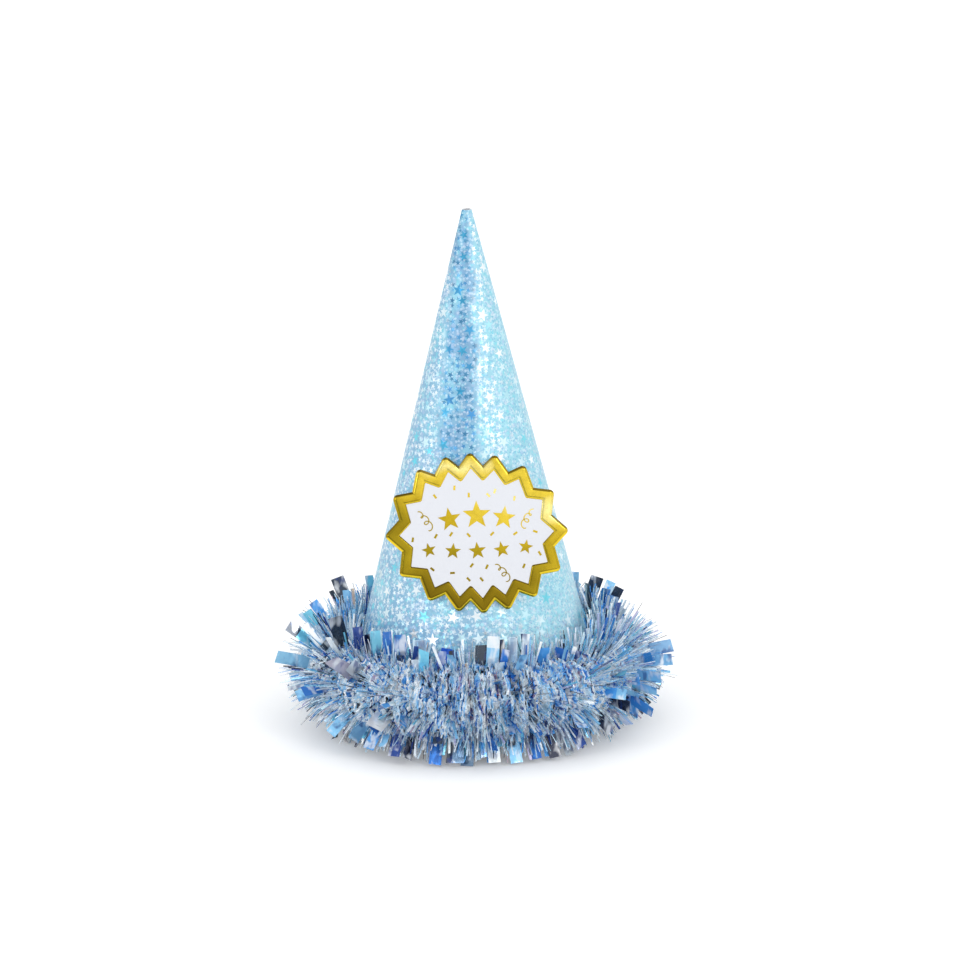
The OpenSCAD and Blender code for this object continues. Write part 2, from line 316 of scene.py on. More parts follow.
def gold_foil(name, mottle=1.0):
    t = Tree(name)
    obj = t.add("ShaderNodeTexCoord").outputs["Object"]
    sep = t.add("ShaderNodeSeparateXYZ")
    t.put(sep.inputs[0], obj)
    fine = t.noise(obj, 420.0, 4.0, 0.7)
    soft = t.noise(obj, 46.0, 2.0, 0.5)
    # mirror foil on embossed board: its tone is painted light, from a pale painted highlight at the upper right to an
    # olive painted shade at the lower edge, with a soft mottle
    height = t.math("MULTIPLY_ADD", sep.outputs[2], 13.0, -0.66)
    across = t.math("MULTIPLY", sep.outputs[0], 4.5)
    drift = t.math("MULTIPLY_ADD", soft.outputs[0], 0.9 * mottle, -0.45 * mottle)
    tone = t.math("ADD", t.math("ADD", height, across), drift)
    color = t.ramp(tone, [(0.0, "#6C5812"), (0.2, "#816C16"), (0.36, "#A08A1E"), (0.52, "#BEA226"), (0.68, "#DCC040"),
                          (0.8, "#F6E794"), (0.9, "#D9BE3E")])
    color = t.mix(t.math("MULTIPLY_ADD", fine.outputs[0], 0.9, -0.4, clamp=True), color, rgba("#8C7112"))
    # painted reflections on the shoulders: bright yellow where the foil faces down, dark brown where it faces up
    facing = t.add("ShaderNodeSeparateXYZ")
    t.put(facing.inputs[0], t.add("ShaderNodeNewGeometry").outputs["Normal"])
    under = t.math("MULTIPLY_ADD", facing.outputs[2], -4.0, 0.3, clamp=True)
    above = t.math("MULTIPLY_ADD", facing.outputs[2], 4.0, -1.6, clamp=True)
    color = t.mix(under, color, rgba("#FFDC3A"))
    color = t.mix(t.math("MULTIPLY", above, 0.85), color, rgba("#5E480C"))
    rough = t.math("MULTIPLY_ADD", fine.outputs[0], 0.12, 0.14)
    normal = t.bump(fine.outputs[0], 0.14 * mottle, 0.0003, t.bump(soft.outputs[0], 0.3 * mottle, 0.0015))
    return t.set(color=color, metal=1.0, rough=rough, normal=normal)


def foil_strip(name, rough=0.24, crinkle=1.0, patches=1.0, scale=1.0):
    """Tinsel: each strip carries its own colour in the mesh, and creases break up its shine; painted glints and
    painted shade sit in the colour.
    """
    t = Tree(name)
    hue = t.add("ShaderNodeVertexColor", layer_name="tint").outputs[0]
    obj = t.add("ShaderNodeTexCoord").outputs["Object"]
    creases = t.noise(obj, 340.0 * scale, 3.0, 0.65)
    if patches:
        # painted glints and painted shade, in streaks that run along the foils, most of which stand up
        tall = t.vec("MULTIPLY", obj, (1.0, 1.0, 0.3))
        foil_painted_glint = t.math("MULTIPLY_ADD", t.noise(tall, 270.0, 2.0, 0.5).outputs[0], 9.0, -4.8, clamp=True)
        moved = t.vec("ADD", tall, (0.31, 0.17, 0.05))
        shade = t.math("MULTIPLY_ADD", t.noise(moved, 300.0, 2.0, 0.5).outputs[0], 9.0, -5.1, clamp=True)
        hue = t.mix(foil_painted_glint, hue, t.mix(0.7 * patches, hue, rgba("#FBFDFF")))
        hue = t.mix(shade, hue, t.mix(0.65 * patches, hue, rgba("#123A86")))
    else:
        # painted sheen: the fine strips turn paler where the creases rise
        painted_crease_sheen = t.math("MULTIPLY_ADD", creases.outputs[0], 6.0, -3.2, clamp=True)
        hue = t.mix(painted_crease_sheen, hue, t.mix(0.25, hue, rgba("#FFFFFF")))
    return t.set(color=hue, metal=0.5, rough=t.math("MULTIPLY_ADD", creases.outputs[0], 0.2, rough - 0.08),
                 coat=0.8, coat_rough=0.1, normal=t.bump(creases.outputs[0], 0.45 * crinkle, 0.0008))


def packed_foil(name):
    """The inside of the garland, where strips lie so close that they read as a mosaic of slivers and ends."""
    t = Tree(name)
    uv = t.add("ShaderNodeUVMap", uv_map="fan").outputs[0]
    stretch = t.vec("MULTIPLY", uv, (1900.0, 260.0, 1.0))
    bend = t.noise(uv, 110.0, 2.0, 0.5, "2D")
    stretch = t.vec("ADD", stretch, t.vec("SCALE", t.vec("SUBTRACT", bend.outputs["Color"], (0.5, 0.5, 0.5)), 6.0))
    vor = t.add("ShaderNodeTexVoronoi", voronoi_dimensions="2D", feature="F1", distance="MANHATTAN")
    vor.inputs["Scale"].default_value = 1.0
    t.put(vor.inputs["Vector"], stretch)
    rnd = t.add("ShaderNodeSeparateColor")
    t.put(rnd.inputs[0], vor.outputs["Color"])
    hue = t.ramp(rnd.outputs[0], [(0.0, "#F6FBFF"), (0.42, "#D6EEFF"), (0.6, "#9AD4FA"), (0.74, "#58AAEE"),
                                  (0.83, "#2F80D6"), (0.88, "#1C55AC"), (0.92, "#153878"), (0.95, "#111C38")],
                 "CONSTANT")
    hue = t.mix(t.math("GREATER_THAN", rnd.outputs[1], 0.965), hue, rgba("#D9C4E4"))
    tilt = t.vec("SCALE", t.vec("SUBTRACT", vor.outputs["Color"], (0.5, 0.5, 0.5)), 1.1)
    normal = t.vec("NORMALIZE", t.vec("ADD", t.add("ShaderNodeNewGeometry").outputs["Normal"], tilt))
    rough = t.math("MULTIPLY_ADD", rnd.outputs[2], 0.3, 0.2)
    return t.set(color=hue, metal=0.3, rough=rough, coat=0.8, coat_rough=0.15, normal=normal)


def foam_mat():
    t = Tree("foam")
    obj = t.add("ShaderNodeTexCoord").outputs["Object"]
    vor = t.add("ShaderNodeTexVoronoi")
    vor.inputs["Scale"].default_value = 1400.0
    t.put(vor.inputs["Vector"], obj)
    color = t.ramp(vor.outputs["Distance"], [(0.0, "#CFCFCB"), (0.5, "#F1F1EE")])
    return t.set(color=color, rough=0.85, normal=t.bump(vor.outputs["Distance"], 0.6, 0.0004))


def glue_mat():
    t = Tree("hot_glue")
    obj = t.add("ShaderNodeTexCoord").outputs["Object"]
    n = t.noise(obj, 300.0, 2.0)
    color = t.ramp(n.outputs[0], [(0.3, "#DDD8C6"), (0.7, "#EFEBDD")])
    rough = t.math("MULTIPLY_ADD", n.outputs[0], 0.15, 0.25)
    return t.set(color=color, rough=rough, normal=t.bump(n.outputs[0], 0.3, 0.0006))


def thread_mat():
    t = Tree("twisted_thread")
    obj = t.add("ShaderNodeTexCoord").outputs["Object"]
    wave = t.add("ShaderNodeTexWave", bands_direction="DIAGONAL")
    wave.inputs["Scale"].default_value = 900.0
    wave.inputs["Distortion"].default_value = 1.5
    t.put(wave.inputs["Vector"], obj)
    color = t.ramp(wave.outputs["Fac"], [(0.2, "#8FA6BC"), (0.8, "#C9D8E6")])
    return t.set(color=color, rough=0.45, metal=0.3, normal=t.bump(wave.outputs["Fac"], 0.5, 0.0004))


FILM = star_film()
INSIDE = plain_card("card_inside", "#E4E6EA", 0.6)
EDGE = plain_card("card_edge", "#DCDEE2", 0.7)
GOLD = gold_foil("gold_foil")
PRINT_GOLD = gold_foil("gold_print", 0.6)
PANEL = plain_card("white_panel", "#DEE0E6", 0.42, 700.0, 0.012)
FINE = foil_strip("fine_foil", 0.24, 0.6, 0.0)
WIDE = foil_strip("wide_foil", 0.2, 0.8, 1.0, 0.55)
PACKED = packed_foil("packed_foil")


def dress(name, mat):
    """Gives a CAD node's object a material in every slot."""
    ob = bpy.data.objects[name]
    if not ob.material_slots:
        ob.data.materials.append(mat)
    for slot in ob.material_slots:
        slot.link = "OBJECT"
        slot.material = mat
    return ob


def mesh_piece(name, verts, faces, mats, face_mats=None, replaces=()):
    me = bpy.data.meshes.new(name)
    me.from_pydata(verts, [], faces)
    for m in mats:
        me.materials.append(m)
    if face_mats is not None:
        me.polygons.foreach_set("material_index", face_mats)
    me.update()
    ob = bpy.data.objects.new(name, me)
    bpy.context.scene.collection.objects.link(ob)
    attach(ob, "root")
    if replaces:
        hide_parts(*replaces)
    return ob


# rolled cone
def cone_sheet():
    """The rolled card as one smooth spiral sheet, with the flat sheet's own coordinates as its map."""
    steps, rows = 251, 30
    angle = np.linspace(0.0, 360.0 + LAP, steps)
    height = np.linspace(0.0, CONE_H, rows)
    a, h = np.meshgrid(np.radians(angle), height, indexing="ij")
    radius = RIM_R - SLOPE * h + GROWTH * a / (2 * math.pi)
    theta = a + math.radians(SEAM)
    verts = []
    for r in (radius, radius - WALL):
        verts.append(np.stack([r * np.cos(theta), r * np.sin(theta), RIM_Z + h], axis=-1).reshape(-1, 3))
    count = steps * rows
    flat_angle = (a - math.pi) * math.sin(LEAN)
    slant = (RIM_R / SLOPE - h) / math.cos(LEAN)
    flat = np.stack([slant * np.sin(flat_angle), slant * np.cos(flat_angle)], axis=-1).reshape(-1, 2)
    idx = np.arange(count).reshape(steps, rows)
    q = [idx[:-1, :-1], idx[1:, :-1], idx[1:, 1:], idx[:-1, 1:]]
    outer = np.stack([x.ravel() for x in q], axis=1)
    inner = outer[:, ::-1] + count

    def strip(line, flip):
        quad = np.stack([line[:-1], line[1:], line[1:] + count, line[:-1] + count], axis=1)
        return quad[:, ::-1] if flip else quad

    edges = np.concatenate([strip(idx[:, 0], True), strip(idx[:, -1], False), strip(idx[0, :], False),
                            strip(idx[-1, :], True)])
    faces = np.concatenate([outer, inner, edges])
    mats = np.concatenate([np.zeros(len(outer)), np.ones(len(inner)), np.full(len(edges), 2)]).astype(int)
    ob = mesh_piece("cone_sheet", np.concatenate(verts).tolist(), faces.tolist(), [FILM, INSIDE, EDGE],
                    mats.tolist(), ["cone_card"])
    me = ob.data
    uv = me.uv_layers.new(name="sheet")
    loops = np.empty(len(me.loops), dtype=np.int32)
    me.loops.foreach_get("vertex_index", loops)
    uv.data.foreach_set("uv", flat[loops % count].ravel())
    me.polygons.foreach_set("use_smooth", (mats < 2).tolist())
    bm = bmesh.new()
    bm.from_mesh(me)
    for e in bm.edges:
        if len(e.link_faces) == 2 and e.link_faces[0].material_index != e.link_faces[1].material_index:
            e.smooth = False
    bm.to_mesh(me)
    bm.free()

    # the two punched holes for a chin elastic
    for turn in (0.0, math.pi):
        bpy.ops.mesh.primitive_cylinder_add(vertices=40, radius=HOLE_R, depth=0.006)
        punch = bpy.context.object
        r = RIM_R - SLOPE * HOLE_H
        place = (Matrix.Rotation(turn, 4, "Z") @ Matrix.Translation((r, 0, RIM_Z + HOLE_H))
                 @ Matrix.Rotation(math.pi / 2 - LEAN, 4, "Y"))
        punch.matrix_world = place
        bpy.context.view_layer.update()
        mod = ob.modifiers.new("punch", "BOOLEAN")
        mod.object = punch
        mod.solver = "EXACT"
        bpy.context.view_layer.objects.active = ob
        bpy.ops.object.modifier_apply(modifier=mod.name)
        bpy.data.objects.remove(punch, do_unlink=True)
    return ob


# badge
def badge_matrix(gap):
    r = RIM_R - SLOPE * BADGE_H
    return (Matrix.Translation((0, -r, RIM_Z + BADGE_H)) @ Matrix.Rotation(math.pi / 2 - LEAN, 4, "X")
            @ Matrix.Translation((BADGE_SHIFT, 0, gap)) @ Matrix.Rotation(BADGE_TURN, 4, "Z"))


def burst(inset):
    """The starburst's zigzag in mm, moved inward by inset, as the CAD source draws it."""
    pts = []
    for i in range(2 * TEETH):
        depth, crowd = (0.0, TIP_CROWDING) if i % 2 == 0 else (TOOTH_DEPTH, NOTCH_CROWDING)
        a = i * 180 / TEETH
        t = math.radians(a + crowd * math.sin(math.radians(2 * a)))
        y = (BURST_HALF_HEIGHT - depth) * math.sin(t)
        pts.append(((BURST_HALF_WIDTH - depth) * math.cos(t) - math.tan(math.radians(BURST_SKEW)) * y, y))
    pts = np.array(pts)
    ahead = np.roll(pts, -1, axis=0) - pts
    n2 = np.stack([-ahead[:, 1], ahead[:, 0]], axis=1) / np.linalg.norm(ahead, axis=1)[:, None]
    n1 = np.roll(n2, 1, axis=0)
    return pts + inset * (n1 + n2) / (1 + (n1 * n2).sum(1))[:, None]


def rounded(pts, tip_r, notch_r, steps):
    out = []
    for i, p in enumerate(pts):
        u = pts[i - 1] - p
        v = pts[(i + 1) % len(pts)] - p
        room = 0.45 * min(np.linalg.norm(u), np.linalg.norm(v))
        u, v = u / np.linalg.norm(u), v / np.linalg.norm(v)
        half = math.acos(float(np.clip(u @ v, -1, 1))) / 2
        r = min(tip_r if i % 2 == 0 else notch_r, room * math.tan(half))
        centre = p + (u + v) / np.linalg.norm(u + v) * r / math.sin(half)
        start = p + u * r / math.tan(half) - centre
        sweep = (1 if i % 2 == 0 else -1) * (math.pi - 2 * half)
        for k in range(steps):
            a = sweep * k / (steps - 1)
            out.append(centre + np.array([start[0] * math.cos(a) - start[1] * math.sin(a),
                                          start[0] * math.sin(a) + start[1] * math.cos(a)]))
    return np.array(out)


def badge_plate():
    """Embossed gold plate: a crowned border with soft shoulders round a recess for the panel."""
    steps = 9
    # inset from the outer edge and height above the plate's back, in mm
    profile = [(0, 0), (0, 0.3), (0, 0.6), (0.06, 0.68), (0.28, 0.84), (0.52, 1.02), (0.74, 1.17), (0.92, 1.26),
               (1.14, 1.31), (1.6, 1.325), (2.4, 1.33), (3.2, 1.32), (3.9, 1.3), (4.12, 1.24), (4.32, 1.08),
               (4.4, 0.94), (4.4, 0.6)]
    rows = []
    for inset, h in profile:
        ring = rounded(burst(inset), max(0.25, TIP_ROUND - inset), 0.25 + 0.2 * inset, steps)
        rows.append(np.concatenate([ring, np.full((len(ring), 1), h)], axis=1) / 1000)
    n = len(rows[0])
    verts = np.concatenate(rows)
    faces = []
    for k in range(len(rows) - 1):
        for i in range(n):
            j = (i + 1) % n
            faces.append((k * n + i, k * n + j, (k + 1) * n + j, (k + 1) * n + i))
    faces.append(tuple(range(n - 1, -1, -1)))
    faces.append(tuple(range((len(rows) - 1) * n, len(rows) * n)))
    place = badge_matrix(FOAM)
    # foil on the front only: the back is bare board
    mats = [0] * len(faces)
    mats[:n] = [1] * n
    mats[-2] = 1
    ob = mesh_piece("embossed_plate", [place @ Vector(v) for v in verts], faces, [GOLD, EDGE], mats,
                    ["badge_plate"])
    smooth = np.ones(len(faces), dtype=bool)
    smooth[:n] = False
    smooth[-2:] = False
    ob.data.polygons.foreach_set("use_smooth", smooth)
    return ob


def star_outline(x, y, r, turn=0.0, inner=0.42):
    pts = []
    for i in range(10):
        a = math.radians(90 + turn + 36 * i)
        d = r if i % 2 == 0 else r * inner
        pts.append((x + d * math.cos(a), y + d * math.sin(a)))
    return pts


def dash_outline(x, y, turn, length=1.9, width=0.85):
    c, s = math.cos(math.radians(turn)), math.sin(math.radians(turn))
    return [(x + c * u * length / 2 - s * v * width / 2, y + s * u * length / 2 + c * v * width / 2)
            for u, v in ((-1, -1), (1, -1), (1, 1), (-1, 1))]


def curl_path(x0, y0, x1, y1, flip, loops=3.0):
    """A curly streamer from one point to another: a nearly straight tail that winds into loops."""
    along = np.array([x1 - x0, y1 - y0])
    size = np.linalg.norm(along)
    along = along / size
    out = flip * np.array([-along[1], along[0]])
    pts = []
    for i in range(121):
        u = i / 120
        b = 0.3 + 0.95 * min(1.0, 1.8 * u)
        a = 2 * math.pi * loops * u
        f = size * u - b * math.sin(a)
        g = b * (1 - math.cos(a)) - 1.2 * u
        pts.append((x0 + f * along[0] + g * out[0], y0 + f * along[1] + g * out[1]))
    return pts


def prism(bm, pts, thick):
    low = [bm.verts.new((x / 1000, y / 1000, 0.0)) for x, y in pts]
    top = [bm.verts.new((x / 1000, y / 1000, thick)) for x, y in pts]
    bm.faces.new(top)
    for i in range(len(pts)):
        j = (i + 1) % len(pts)
        bm.faces.new((low[i], low[j], top[j], top[i]))


def ribbon(bm, path, width, thick):
    pts = np.array(path)
    d = np.gradient(pts, axis=0)
    d /= np.linalg.norm(d, axis=1)[:, None]
    n = np.stack([-d[:, 1], d[:, 0]], axis=1)
    taper = width / 2 * np.clip(np.minimum(np.arange(len(pts)), np.arange(len(pts))[::-1]) / 5.0 + 0.35, 0, 1)[:, None]
    left, right = pts + n * taper, pts - n * taper
    rows = []
    for (lx, ly), (rx, ry) in zip(left / 1000, right / 1000):
        rows.append([bm.verts.new(p) for p in ((rx, ry, 0), (rx, ry, thick), (lx, ly, thick), (lx, ly, 0))])
    for p, q in zip(rows, rows[1:]):
        bm.faces.new((p[1], q[1], q[2], p[2]))
        bm.faces.new((p[0], q[0], q[1], p[1]))
        bm.faces.new((p[2], q[2], q[3], p[3]))


def badge_print():
    """The panel's gold print: stars where the real badge has words, confetti and three streamers."""
    place = badge_matrix(PANEL_TOP)

    def piece(name, draw):
        bm = bmesh.new()
        draw(bm)
        bmesh.ops.recalc_face_normals(bm, faces=bm.faces)
        bm.transform(place)
        me = bpy.data.meshes.new(name)
        bm.to_mesh(me)
        bm.free()
        me.materials.append(PRINT_GOLD)
        ob = bpy.data.objects.new(name, me)
        bpy.context.scene.collection.objects.link(ob)
        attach(ob, "root")

    def stars(bm):
        for x, y, r, turn in ((-10.8, 6.0, 4.9, 8), (0.2, 7.4, 5.9, 0), (11.2, 6.0, 4.9, -8),
                              (-19.6, -6.2, 3.1, 12), (-9.9, -6.9, 3.4, -6), (0.0, -7.1, 3.7, 4),
                              (9.9, -6.9, 3.4, 10), (19.6, -6.2, 3.1, -12)):
            prism(bm, star_outline(x, y, r, turn), PRINT_THICKNESS)

    def dashes(bm):
        marks = ((-8.4, 18.7, 84), (-16.4, 15.5, -55), (-2.7, 15.6, 88), (5.2, 15.3, -50), (7.9, 16.8, 70),
                 (15.7, 13.6, 80), (-10.4, 0.0, 55), (-16.6, -0.6, 60), (-3.3, -0.6, -50), (-26.0, -1.7, 80),
                 (6.2, -0.4, 45), (15.6, -0.6, 35), (23.7, -0.1, -20), (25.2, -9.0, -60), (-2.5, -12.9, 50),
                 (3.6, -13.7, 62), (-18.5, -13.9, -40), (-10.4, -15.7, 2), (18.6, -13.9, 66), (-4.0, -18.5, -48),
                 (1.3, -18.7, -52))
        for x, y, turn in marks:
            prism(bm, dash_outline(x, y, turn), PRINT_THICKNESS)

    def curls(bm):
        for x0, y0, x1, y1, flip in ((-23.6, 9.6, -18.6, 2.6, 1), (23.3, 9.0, 19.0, 2.2, -1),
                                     (7.0, -12.9, 12.0, -19.0, 1)):
            ribbon(bm, curl_path(x0, y0, x1, y1, flip), 0.42, PRINT_THICKNESS)

    piece("print_stars", stars)
    piece("print_confetti", dashes)
    piece("print_streamers", curls)


# tinsel
WHITE, ICE, SKY, MID, BLUE = "#F0F8FF", "#D0ECFE", "#90D0F8", "#4AA2EA", "#2B76CC"
DEEP, NAVY, SLATE, LILAC, CYAN = "#1C4698", "#16213F", "#2B3A4C", "#D2CBEC", "#7AD2EE"
TINTS = [(WHITE, 0.47), (ICE, 0.2), (SKY, 0.1), (MID, 0.06), (BLUE, 0.03), (DEEP, 0.025), (CYAN, 0.05), (NAVY, 0.06),
         (LILAC, 0.03), ("#EBC3D3", 0.008), ("#F2C9AE", 0.004), ("#E2506E", 0.001)]


def pick(n, table):
    cols = np.array([rgba(c)[:3] for c, _ in table])
    share = np.array([w for _, w in table])
    cols = cols[rng.choice(len(table), n, p=share / share.sum())]
    return np.clip(cols * rng.uniform(0.9, 1.12, (n, 1)), 0, 1)


def strip_mesh(name, theta, rise, swing, length, width, side, roll, twist, bend, seg, tints, split, mat,
               start=0.0008, jitter=0.0005, replaces=()):
    """Foil strips that leave the thread in a fan. Angles in radians, one row of each array for each strip.
    tints holds the colours below and above the face where the strip changes its shine."""
    n = len(theta)
    er = np.stack([np.cos(theta), np.sin(theta), np.zeros(n)], axis=1)
    et = np.stack([-np.sin(theta), np.cos(theta), np.zeros(n)], axis=1)
    out = np.cos(rise)[:, None] * er + np.sin(rise)[:, None] * np.array([0.0, 0.0, 1.0])
    d = np.cos(swing)[:, None] * out + np.sin(swing)[:, None] * et
    guide = et if side is None else side
    side = guide - (guide * d).sum(1)[:, None] * d
    side /= np.linalg.norm(side, axis=1)[:, None]
    third = np.cross(d, side)
    s = np.linspace(0, 1, seg + 1)
    centre = RING_R * er + np.array([0, 0, THREAD_Z]) + rng.normal(0, jitter, (n, 3))
    dist = start + (length[:, None] - start) * s[None, :]
    sag = (bend * length)[:, None, None]
    path = centre[:, None, :] + dist[:, :, None] * d[:, None, :] + sag * (s ** 2)[None, :, None] * third[:, None, :]
    path[:, :, 2] -= 0.0015 * (s ** 2)[None, :] * (np.abs(np.cos(rise)) * length / 0.026)[:, None]
    turn = roll[:, None] + twist[:, None] * s[None, :]
    across = np.cos(turn)[:, :, None] * side[:, None, :] + np.sin(turn)[:, :, None] * third[:, None, :]
    half = (width / 2)[:, None, None] * np.clip(0.35 + 1.6 * s, 0, 1)[None, :, None]
    pts = np.stack([path - half * across, path + half * across], axis=2)
    # nothing goes through the card, into the hat's mouth or below the table
    rad = np.linalg.norm(pts[..., :2], axis=-1)
    up = np.clip(pts[..., 2] - RIM_Z, 0, None)
    least = np.where(pts[..., 2] > RIM_Z - 0.001, RIM_R - SLOPE * up + GROWTH + 0.0004, RIM_R + 0.0006)
    pts[..., :2] *= (np.maximum(rad, least) / rad)[..., None]
    floor = (0.00015 + 0.0006 * rng.random(n))[:, None, None]
    under = np.clip(floor - pts[..., 2], 0, None)
    pts[..., 2] = np.maximum(pts[..., 2], floor)
    pts[..., :2] *= (1 + 0.8 * under / np.maximum(np.linalg.norm(pts[..., :2], axis=-1), 0.01))[..., None]

    verts = pts.reshape(-1, 3)
    a = (np.arange(n) * (seg + 1) * 2)[:, None] + np.arange(seg)[None, :] * 2
    faces = np.stack([a, a + 1, a + 3, a + 2], axis=-1).reshape(-1, 4)
    me = bpy.data.meshes.new(name)
    me.vertices.add(len(verts))
    me.vertices.foreach_set("co", verts.ravel())
    me.loops.add(faces.size)
    me.loops.foreach_set("vertex_index", faces.ravel().astype(np.int32))
    me.polygons.add(len(faces))
    me.polygons.foreach_set("loop_start", (np.arange(len(faces)) * 4).astype(np.int32))
    me.polygons.foreach_set("use_smooth", np.ones(len(faces), dtype=bool))
    me.update(calc_edges=True)
    shown = np.where((np.arange(seg)[None, :] < split[:, None])[..., None], tints[0][:, None, :], tints[1][:, None, :])
    shown = np.repeat(shown.reshape(-1, 3), 4, axis=0)
    layer = me.color_attributes.new("tint", "FLOAT_COLOR", "CORNER")
    shown = np.concatenate([shown, np.ones((len(shown), 1))], axis=1)
    layer.data.foreach_set("color", shown.ravel().astype(np.float32))
    me.materials.append(mat)
    ob = bpy.data.objects.new(name, me)
    bpy.context.scene.collection.objects.link(ob)
    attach(ob, "root")
    if replaces:
        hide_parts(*replaces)
    return ob


def fine_strips(name, n, seg, rise, reach, power, width, swing, bend, tints, changes, jitter=0.0005, lean=1.0,
                replaces=()):
    """A random share of the fringe. Strips gather in tufts, and few of them reach full length."""
    theta = rng.uniform(0, 2 * math.pi, n)
    w = np.radians(rise[0] + (rise[1] - rise[0]) * rng.random(n) ** lean)
    theta = theta + 0.75 * np.sin(theta * TUFTS + 3.0 * np.sin(5 * theta)) / TUFTS
    w = w + np.radians(5.0) * np.sin(theta * (TUFTS // 2) + 5 * w)
    length = reach[0] + (reach[1] - reach[0]) * rng.random(n) ** power
    # the table holds up the ones that hang, so they end shorter
    length *= 1 - 0.1 * np.clip(-np.sin(w), 0, 1)
    # the wide foils lie on top of the fine strips round them
    for row in SHOWN:
        near = np.abs((np.degrees(theta) - row[0] + 180) % 360 - 180) < (0.45 * row[4] + 0.8 if row[4] < 6 else 5.5)
        low, high = sorted((12, row[1]))
        low = max(low, high - 50)
        near &= (np.degrees(w) > low - 4) & (np.degrees(w) < high + 6)
        length = np.where(near, np.minimum(length, 0.0178), length)
    a = pick(n, tints)
    b = np.where(rng.random(n)[:, None] < changes, pick(n, tints), a)
    strip_mesh(name, theta, w, np.radians(rng.normal(0, swing, n)), length,
               rng.uniform(0, 1, n) ** 2.2 * (width[1] - width[0]) + width[0],
               rng.normal(size=(n, 3)), rng.uniform(0, 6.28, n), rng.normal(0, 1.2, n), rng.normal(0, bend, n), seg,
               (a, b), rng.integers(1, seg, n), FINE, jitter=jitter, replaces=replaces)


